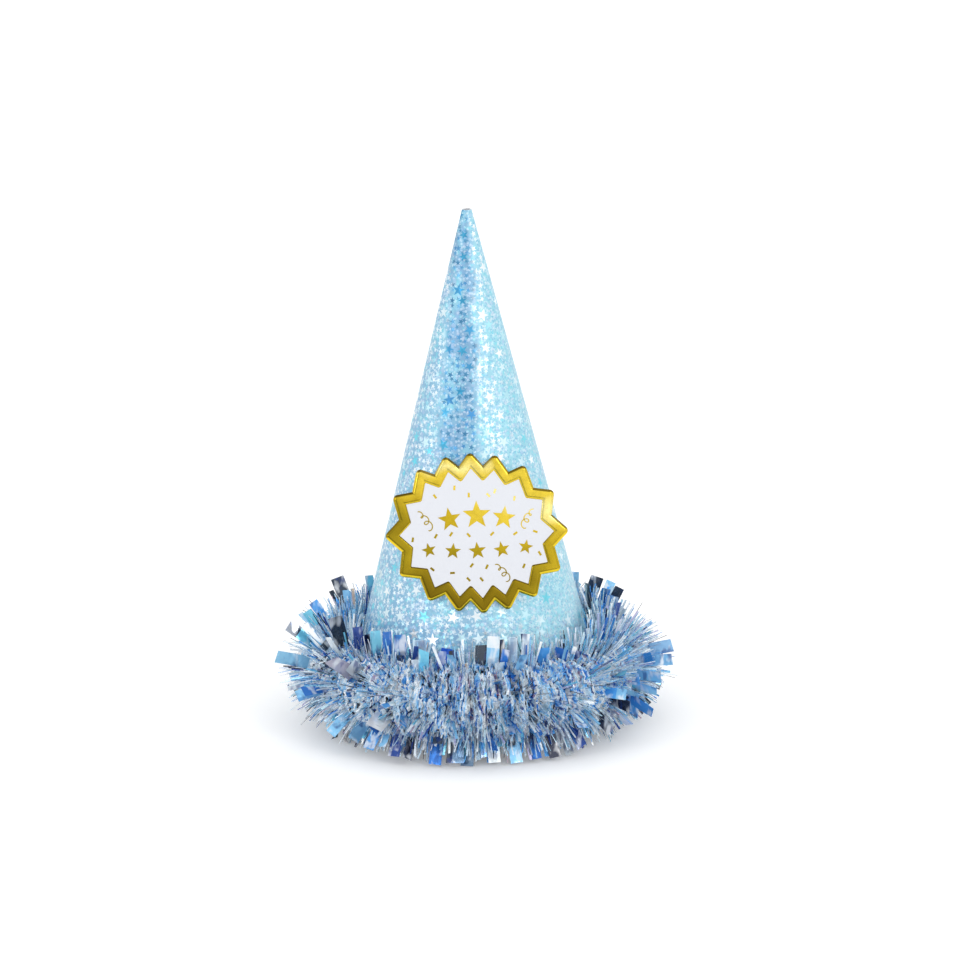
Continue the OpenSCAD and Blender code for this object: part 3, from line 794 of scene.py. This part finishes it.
# Wide foils that stand out in the garland: azimuth, rise, swing, length mm, width mm, roll, colour near the thread,
# colour at the free end, share of the length where it changes
SHOWN = [
    (150, 68, 2, 31.5, 5.0, 10, SKY, SLATE, 0.55), (152, 55, -6, 28, 2.4, 20, CYAN, SLATE, 0.4),
    (138, 82, 4, 29, 3.4, -10, SKY, CYAN, 0.6), (160, 80, -8, 27, 2.6, 0, ICE, SKY, 0.5),
    (166, 60, 6, 29, 3.6, 15, SKY, MID, 0.5), (172, 48, 0, 29, 3.0, -20, WHITE, SKY, 0.6),
    (200, 76, 3, 30, 5.4, 5, SKY, SLATE, 0.3), (184, 42, 4, 31.5, 4.6, 10, CYAN, SLATE, 0.82),
    (178, 56, -6, 28, 3.6, 0, ICE, CYAN, 0.7), (190, 20, 0, 31.5, 4.6, 8, ICE, "#86BFE0", 0.5),
    (194, 54, -12, 28, 3.0, 10, ICE, WHITE, 0.4), (223, 40, -2, 31, 5.6, 12, SLATE, "#B9B4C4", 0.42),
    (220, 44, 12, 24, 5.2, 8, WHITE, WHITE, 0.5), (208, 6, 4, 28, 4.6, 30, MID, BLUE, 0.5),
    (204, 0, 8, 27, 4.4, 25, ICE, SKY, 0.5), (236, -14, 2, 25, 6.8, 8, ICE, "#FFFFFF", 0.3),
    (226, -34, 4, 25, 4.4, 4, SKY, "#7FB4DA", 0.6), (212, 88, -4, 25, 3.6, 0, BLUE, DEEP, 0.5),
    (217, 84, 6, 24, 2.6, 12, MID, NAVY, 0.6), (229, 90, 0, 27, 3.2, 0, SKY, BLUE, 0.6),
    (236, 92, -3, 26, 4.4, 6, MID, "#2F80CC", 0.5), (241, 86, 12, 25, 3.6, 10, CYAN, DEEP, 0.5),
    (245, 92, 0, 25, 4.8, -8, SKY, ICE, 0.5), (251, 84, 14, 24, 3.0, 12, MID, "#1F5FD0", 0.4),
    (254, 88, 10, 22, 4.0, 14, SKY, "#1F5FD0", 0.5), (249, 76, -8, 20, 4.4, -10, ICE, WHITE, 0.5),
    (259, 90, 4, 19, 3.4, 0, CYAN, SKY, 0.5), (264, 96, -10, 22, 2.2, 0, NAVY, "#101A2C", 0.4),
    (272, 88, 2, 24, 4.2, 0, MID, SLATE, 0.55), (276, 90, 4, 28, 4.6, 6, SKY, "#E6F5FD", 0.78),
    (281, 88, -3, 26, 5.0, -5, SKY, SLATE, 0.5), (269, 66, 8, 17, 4.0, 8, SLATE, NAVY, 0.5),
    (286, 92, 2, 27, 3.8, 0, LILAC, ICE, 0.5), (290, 90, 6, 27, 2.8, 8, LILAC, WHITE, 0.5),
    (283, 60, 0, 16, 4.0, 10, MID, "#2C86DC", 0.5), (295, 94, -4, 27, 1.6, 0, SLATE, "#182230", 0.3),
    (302, 82, -6, 22, 4.4, 12, SKY, MID, 0.5), (306, 76, 4, 21, 4.8, -12, DEEP, BLUE, 0.5),
    (311, 70, 8, 20, 3.6, 14, SKY, DEEP, 0.5), (299, 70, 10, 17, 4.0, 10, LILAC, "#E8D3CF", 0.5),
    (38, 66, -2, 28, 5.0, 6, SKY, SLATE, 0.72), (42, 78, 6, 28, 4.8, 12, MID, SKY, 0.5),
    (33, 58, -6, 27, 5.0, -14, ICE, WHITE, 0.5), (28, 60, 8, 29, 4.2, 20, MID, SKY, 0.6),
    (24, 66, -10, 28, 3.6, 10, SKY, SLATE, 0.8), (48, 84, 0, 26, 3.0, 0, BLUE, NAVY, 0.6),
    (18, 70, 4, 24, 4.4, 0, CYAN, MID, 0.5), (356, 18, 0, 30, 4.8, 6, SKY, "#8DBFE8", 0.55),
    (352, 10, 3, 29, 4.2, 10, MID, "#6FAEDC", 0.5), (348, 22, -8, 24, 4.6, 15, BLUE, MID, 0.5),
    (340, 4, 4, 27, 4.2, 25, CYAN, SKY, 0.5), (334, -22, 2, 28, 4.6, 12, SKY, "#2E8FE4", 0.4),
    (328, -18, -4, 26, 4.2, 18, MID, "#3B9BE8", 0.5), (322, -8, 0, 25, 4.8, 24, DEEP, NAVY, 0.45),
    (316, -32, 4, 25, 4.0, 12, MID, NAVY, 0.5), (306, -44, 3, 25, 4.4, 6, SKY, DEEP, 0.6),
    (299, -52, -4, 25, 4.2, 8, MID, NAVY, 0.55), (291, -60, 2, 24.5, 3.6, 0, SKY, BLUE, 0.5),
    (283, -62, 4, 24.5, 4.4, 4, ICE, SKY, 0.5), (276, -70, 0, 24, 4.2, 0, CYAN, MID, 0.5),
    (268, -66, -4, 24.5, 4.8, 6, SKY, "#5C7C9A", 0.6), (262, -60, 3, 24.5, 4.4, -6, ICE, "#5C7C9A", 0.65),
    (255, -62, 0, 25, 4.6, 4, MID, BLUE, 0.6), (247, -52, -3, 25, 3.8, 0, SKY, NAVY, 0.6),
    (240, -48, 5, 25, 4.4, 6, BLUE, DEEP, 0.6), (233, -44, -2, 25, 4.2, 0, SKY, MID, 0.5),
    (218, -30, 3, 26, 4.0, 8, ICE, SKY, 0.5),
]


def wide_foils(name, replaces=()):
    def column(k):
        return np.array([row[k] for row in SHOWN], dtype=float)

    # the same mixture, at random, all the way round
    n = 240
    spots = np.array([row[0] for row in SHOWN])
    theta = np.concatenate([column(0), rng.uniform(0, 360, n)])
    rise = np.concatenate([column(1), rng.uniform(-78, 98, n)])
    front = np.array([abs((t - 265 + 180) % 360 - 180) < 95 for t in theta[len(spots):]])
    tints = [(SKY, 0.27), (ICE, 0.18), (MID, 0.17), (WHITE, 0.14), (BLUE, 0.07), (CYAN, 0.1), (LILAC, 0.04),
             (DEEP, 0.02)]
    ends = [(SKY, 0.25), (SLATE, 0.09), (MID, 0.17), (WHITE, 0.19), (CYAN, 0.12), (BLUE, 0.08), (NAVY, 0.03),
            (DEEP, 0.03), ("#A7A2B3", 0.04)]
    length = np.concatenate([column(3), np.where(front, rng.uniform(18, 26, n), rng.uniform(21, 29, n))]) / 1000
    width = np.concatenate([1.12 * column(4), rng.uniform(1.8, 5.0, n)]) / 1000
    swing = np.radians(np.concatenate([column(2), rng.normal(0, 11, n)]))
    roll = np.radians(np.concatenate([column(5), rng.normal(0, 38, n)]))
    first = np.concatenate([np.array([rgba(row[6])[:3] for row in SHOWN]), pick(n, tints)])
    last = np.concatenate([np.array([rgba(row[7])[:3] for row in SHOWN]), pick(n, ends)])
    # the listed ones lie flat to the front, where the badge is
    spin, up, away = np.radians(theta), np.radians(rise), swing
    d = np.stack([np.cos(away) * np.cos(up) * np.cos(spin) - np.sin(away) * np.sin(spin),
                  np.cos(away) * np.cos(up) * np.sin(spin) + np.sin(away) * np.cos(spin),
                  np.cos(away) * np.sin(up)], axis=1)
    side = np.stack([-np.sin(spin), np.cos(spin), np.zeros(len(spin))], axis=1)
    side[:len(spots)] = np.cross(d[:len(spots)], np.array([0.0, -0.97, 0.24]))
    seg = 10
    split = np.concatenate([np.round(column(8) * seg), rng.integers(3, 9, n)]).astype(int)
    m = len(theta)
    strip_mesh(name, np.radians(theta), np.radians(rise), swing, length, width, side, roll, rng.normal(0, 0.3, m),
               rng.normal(0, 0.05, m), seg, (first, last), split, WIDE, start=0.003, jitter=0.0003,
               replaces=replaces)


def fringe_bed(name, low, high, reach, replaces=()):
    """A ruffled ring well inside the fringe: the slivers of foil that are packed round the thread."""
    around, fan = 1100, 60
    th = np.linspace(0, 2 * math.pi, around, endpoint=False)
    w = np.radians(np.linspace(low, high, fan))
    T, W = np.meshgrid(th, w, indexing="ij")
    tuft = np.sin(TUFTS * T + 3.0 * np.sin(5 * T)) * np.cos(0.6 * W)
    ruffle = 0.07 * tuft + 0.13 * (rng.random(T.shape) - 0.5) + 0.05 * np.sin(23 * T + 4 * W)
    r = reach * (1 + ruffle)
    rad = RING_R + r * np.cos(W)
    z = np.maximum(THREAD_Z + r * np.sin(W), 0.0008)
    least = RIM_R - SLOPE * np.clip(z - RIM_Z, 0, None) + GROWTH + 0.0005
    rad = np.maximum(rad, least)
    verts = np.stack([rad * np.cos(T), rad * np.sin(T), z], axis=-1).reshape(-1, 3)
    idx = np.arange(around * fan).reshape(around, fan)
    nxt = np.roll(idx, -1, axis=0)
    faces = np.stack([idx[:, :-1], nxt[:, :-1], nxt[:, 1:], idx[:, 1:]], axis=-1).reshape(-1, 4)
    ob = mesh_piece(name, verts.tolist(), faces.tolist(), [PACKED], replaces=replaces)
    uv = ob.data.uv_layers.new(name="fan")
    loops = np.empty(len(ob.data.loops), dtype=np.int32)
    ob.data.loops.foreach_get("vertex_index", loops)
    flat = np.stack([T.ravel() * 0.066, W.ravel() * 0.016], axis=-1)[loops].reshape(-1, 4, 2)
    wrap = flat[:, :, 0].max(axis=1) - flat[:, :, 0].min(axis=1) > 0.2
    flat[wrap, :, 0] = np.where(flat[wrap, :, 0] < 0.2, flat[wrap, :, 0] + 2 * math.pi * 0.066, flat[wrap, :, 0])
    uv.data.foreach_set("uv", flat.ravel())
    return ob


def tinsel():
    fringe_bed("fringe_bed", -94, 104, 0.0148)
    fine_strips("fringe_upper", 4700, 5, (0, 106), (0.0180, 0.0275), 1.0, (0.0003, 0.00115), 9, 0.05, TINTS, 0.35,
                lean=1.05, replaces=["tinsel_fringe"])
    fine_strips("fringe_lower", 5000, 5, (-98, 4), (0.0175, 0.0268), 1.05, (0.0003, 0.00115), 9, 0.05, TINTS, 0.35)
    sparkle = TINTS + [(WHITE, 0.15), (NAVY, 0.09), (DEEP, 0.05)]
    fine_strips("fringe_heart", 3400, 3, (-98, 104), (0.0148, 0.0186), 1.0, (0.0003, 0.0009), 18, 0.12, sparkle, 0.6,
                0.0008)
    hairs = [("#27313E", 0.34), (ICE, 0.3), (MID, 0.2), ("#9A8F99", 0.16)]
    fine_strips("fringe_hairs", 360, 7, (-30, 55), (0.026, 0.0305), 1.0, (0.00018, 0.00028), 12, 0.08, hairs, 0.2)
    wide_foils("wide_foils", ["wide_strips"])


# build the parts
cone_sheet()
badge_plate()
dress("badge_panel", PANEL)
dress("foam_pads", foam_mat())
dress("core_thread", thread_mat())
dress("glue_dots", glue_mat())
badge_print()
tinsel()


# stage
def stage():
    bpy.ops.mesh.primitive_plane_add(size=8.0, location=(0, 0, 0))
    floor = bpy.context.object
    floor.name = "floor"
    t = Tree("floor_paint")
    obj = t.add("ShaderNodeTexCoord").outputs["Object"]
    soft = t.noise(obj, 3.0, 2.0)
    color = t.ramp(soft.outputs[0], [(0.3, "#F4F5F6"), (0.7, "#F7F8F9")])
    t.set(color=color, rough=0.9, spec=0.1)
    # a pale sweep: the camera sees it a little lighter, and it still takes the hat's shadow
    t.bsdf.inputs["Emission Color"].default_value = (1, 1, 1, 1)
    away = t.vec("LENGTH", obj)
    lift = t.math("MULTIPLY_ADD", t.math("MULTIPLY_ADD", away, 0.8, -0.2, clamp=True), 0.15, 0.2)
    seen = t.add("ShaderNodeLightPath").outputs["Is Camera Ray"]
    t.put(t.bsdf.inputs["Emission Strength"], t.math("MULTIPLY", seen, lift))
    floor.data.materials.append(t.mat)

    world = bpy.data.worlds.new("studio")
    bpy.context.scene.world = world
    world.use_nodes = True
    nt = world.node_tree
    nt.nodes.clear()
    out = nt.nodes.new("ShaderNodeOutputWorld")
    path = nt.nodes.new("ShaderNodeLightPath")

    def background(col, strength):
        node = nt.nodes.new("ShaderNodeBackground")
        node.inputs[0].default_value = rgba(col)
        node.inputs[1].default_value = strength
        return node

    def mixed(fac, one, other):
        node = nt.nodes.new("ShaderNodeMixShader")
        nt.links.new(fac, node.inputs[0])
        nt.links.new(one.outputs[0], node.inputs[1])
        nt.links.new(other.outputs[0], node.inputs[2])
        return node

    # what foil mirrors: the same pale room, with a few softer, cooler stretches
    room = background("#FFFFFF", 1.05)
    coord = nt.nodes.new("ShaderNodeTexCoord")
    wave = nt.nodes.new("ShaderNodeTexNoise")
    wave.inputs["Scale"].default_value = 2.6
    wave.inputs["Detail"].default_value = 1.0
    ramp = nt.nodes.new("ShaderNodeValToRGB")
    ramp.color_ramp.elements[0].position = 0.42
    ramp.color_ramp.elements[0].color = (0.4, 0.46, 0.56, 1)
    ramp.color_ramp.elements[1].position = 0.56
    ramp.color_ramp.elements[1].color = (1.35, 1.35, 1.35, 1)
    nt.links.new(coord.outputs["Generated"], wave.inputs["Vector"])
    nt.links.new(wave.outputs["Fac"], ramp.inputs[0])
    nt.links.new(ramp.outputs[0], room.inputs[0])
    lit = mixed(path.outputs["Is Glossy Ray"], background("#FFFFFF", 0.96), room)
    nt.links.new(mixed(path.outputs["Is Camera Ray"], lit, background("#FAFBFC", 1.0)).outputs[0], out.inputs[0])


def area(name, place, target, size, power):
    data = bpy.data.lights.new(name, "AREA")
    data.energy = power
    data.size = size
    ob = bpy.data.objects.new(name, data)
    ob.location = place
    ob.rotation_euler = (Vector(target) - Vector(place)).to_track_quat("-Z", "Y").to_euler()
    bpy.context.scene.collection.objects.link(ob)


def camera():
    elevation, distance, roll = math.radians(14.95), 2.0, math.radians(1.06)
    target = Vector((0.0035, 0.0, 0.1028))
    data = bpy.data.cameras.new("camera")
    data.sensor_width = 36.0
    data.sensor_fit = "HORIZONTAL"
    data.lens = 36.0 * distance / 0.3948
    data.clip_start = 0.01
    ob = bpy.data.objects.new("camera", data)
    ob.location = target + distance * Vector((0, -math.cos(elevation), math.sin(elevation)))
    look = (target - ob.location).to_track_quat("-Z", "Y").to_matrix().to_4x4()
    ob.rotation_euler = (look @ Matrix.Rotation(-roll, 4, "Z")).to_euler()
    bpy.context.scene.collection.objects.link(ob)
    bpy.context.scene.camera = ob
    bpy.context.scene.view_settings.view_transform = "Standard"


stage()
area("key", (1.6, -2.4, 2.0), (0, 0, 0.08), 0.9, 17.0)
area("fill", (-2.2, -1.8, 1.2), (0, 0, 0.08), 0.9, 8.0)
camera()
